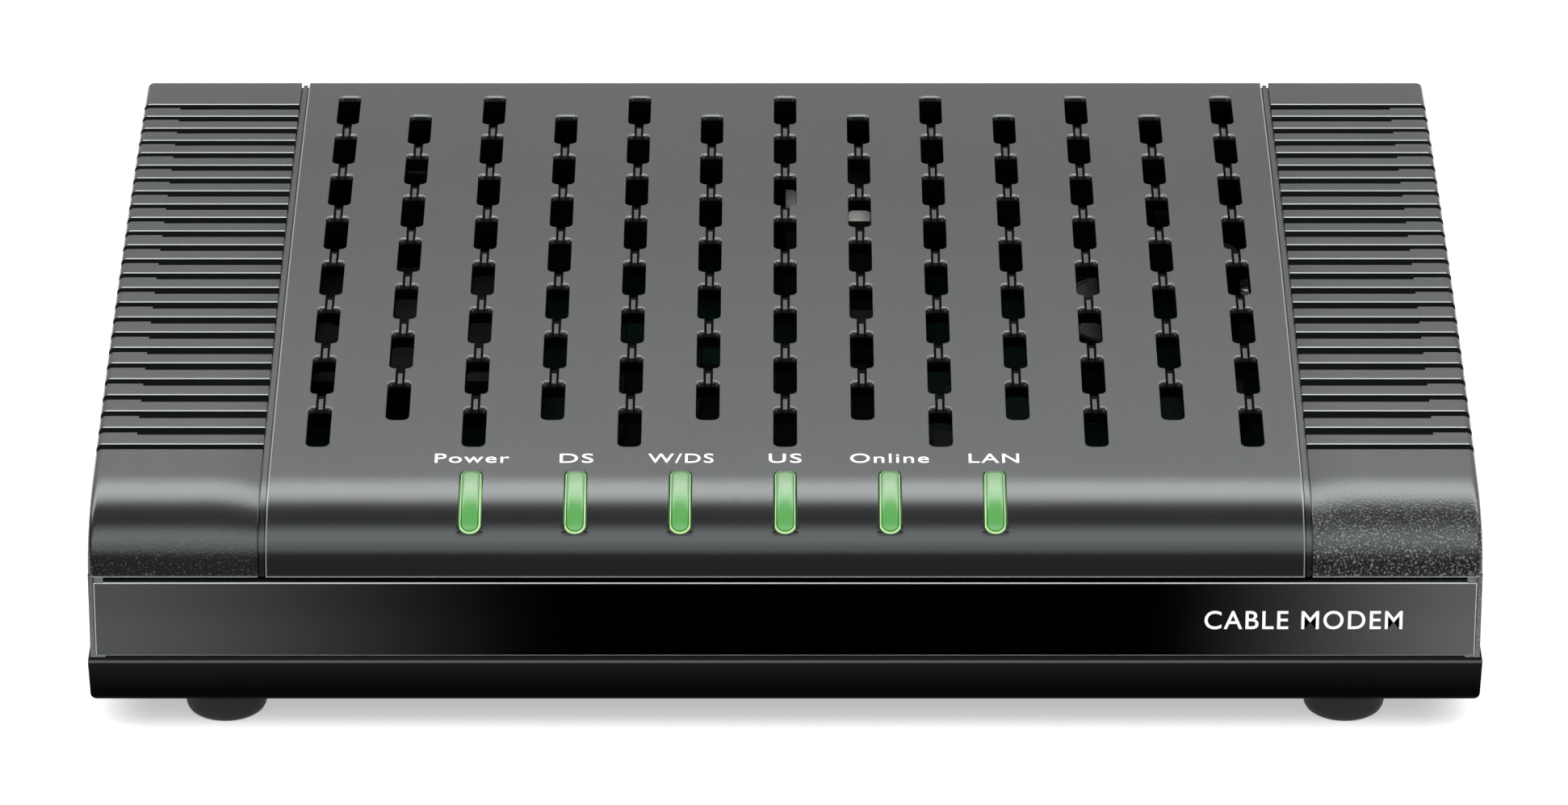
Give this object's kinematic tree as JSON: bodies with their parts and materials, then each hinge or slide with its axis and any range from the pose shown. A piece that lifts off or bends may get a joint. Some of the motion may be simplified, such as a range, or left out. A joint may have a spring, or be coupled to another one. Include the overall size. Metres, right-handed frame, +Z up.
{
  "type": "cable modem",
  "caption": "Low rectangular cable modem with a vented, crowned top, ribbed cheeks, green indicator windows and rear coax, network and power sockets.",
  "frame": {"origin": "middle of the bounding box, on the plane the four feet stand on", "axes": "+X to the object's right seen from the front, +Y to the back where the connectors are, +Z up"},
  "size_m": [0.1658, 0.1254, 0.0346],
  "materials": {
    "cover_plastic": "fine moulded grain with a soft satin sheen, dark grey",
    "tray_plastic": "fine moulded grain, near black",
    "bezel_plastic": "plain black",
    "fascia_gloss": "polished black",
    "lens_green": "translucent green, softly polished",
    "foot_rubber": "dull black",
    "screw_steel": "zinc plated",
    "label_film": "blank white film",
    "board_laminate": "green solder mask",
    "led_resin": "clear yellow resin",
    "plated_nickel": "nickel plated",
    "white_insulator": "plain white",
    "contact_brass": "gold flashed",
    "shield_tin": "tin plated sheet",
    "chip_epoxy": "moulded epoxy",
    "jack_plastic": "black moulding",
    "pad_silicone": "grey silicone",
    "heat_sink_black": "black anodised",
    "capacitor_sleeve": "shrink sleeve"
  },
  "bodies": {
    "case": {"top_cover": "cover_plastic", "base_tray": "tray_plastic", "front_bezel": "bezel_plastic", "gloss_fascia": "fascia_gloss", "rear_panel": "tray_plastic", "light_pipe": "lens_green", "foot_front_left": "foot_rubber", "foot_front_right": "foot_rubber", "foot_rear_left": "foot_rubber", "foot_rear_right": "foot_rubber", "case_screws": "screw_steel", "board_screws": "screw_steel", "rating_label": "label_film", "main_board": "board_laminate", "led_emitters": "led_resin", "coax_connector": "plated_nickel", "coax_insulator": "white_insulator", "coax_contact": "contact_brass", "coax_nut": "plated_nickel", "coax_washer": "plated_nickel", "tuner_shield_frame": "shield_tin", "tuner_shield_lid": "shield_tin", "tuner_chip": "chip_epoxy", "lan_jack_housing": "jack_plastic", "lan_jack_shield": "shield_tin", "lan_jack_contacts": "contact_brass", "lan_transformer": "chip_epoxy", "power_jack_housing": "jack_plastic", "power_jack_pin": "plated_nickel", "power_jack_spring": "contact_brass", "reset_switch_body": "jack_plastic", "reset_switch_plate": "shield_tin", "modem_processor": "chip_epoxy", "thermal_pad": "pad_silicone", "heat_sink": "heat_sink_black", "memory_chip": "chip_epoxy", "flash_chip": "chip_epoxy", "crystal_can": "shield_tin", "power_inductors": "chip_epoxy", "bulk_capacitors": "capacitor_sleeve"},
    "reset_button": {"reset_plunger": "jack_plastic"}
  },
  "joints": [
    {"name": "reset_press", "type": "slide", "parent": "case", "child": "reset_button", "axis": [0, -1, 0], "range_m": [0, 0.0003], "stiffness_N_per_m": 2000}
  ]
}
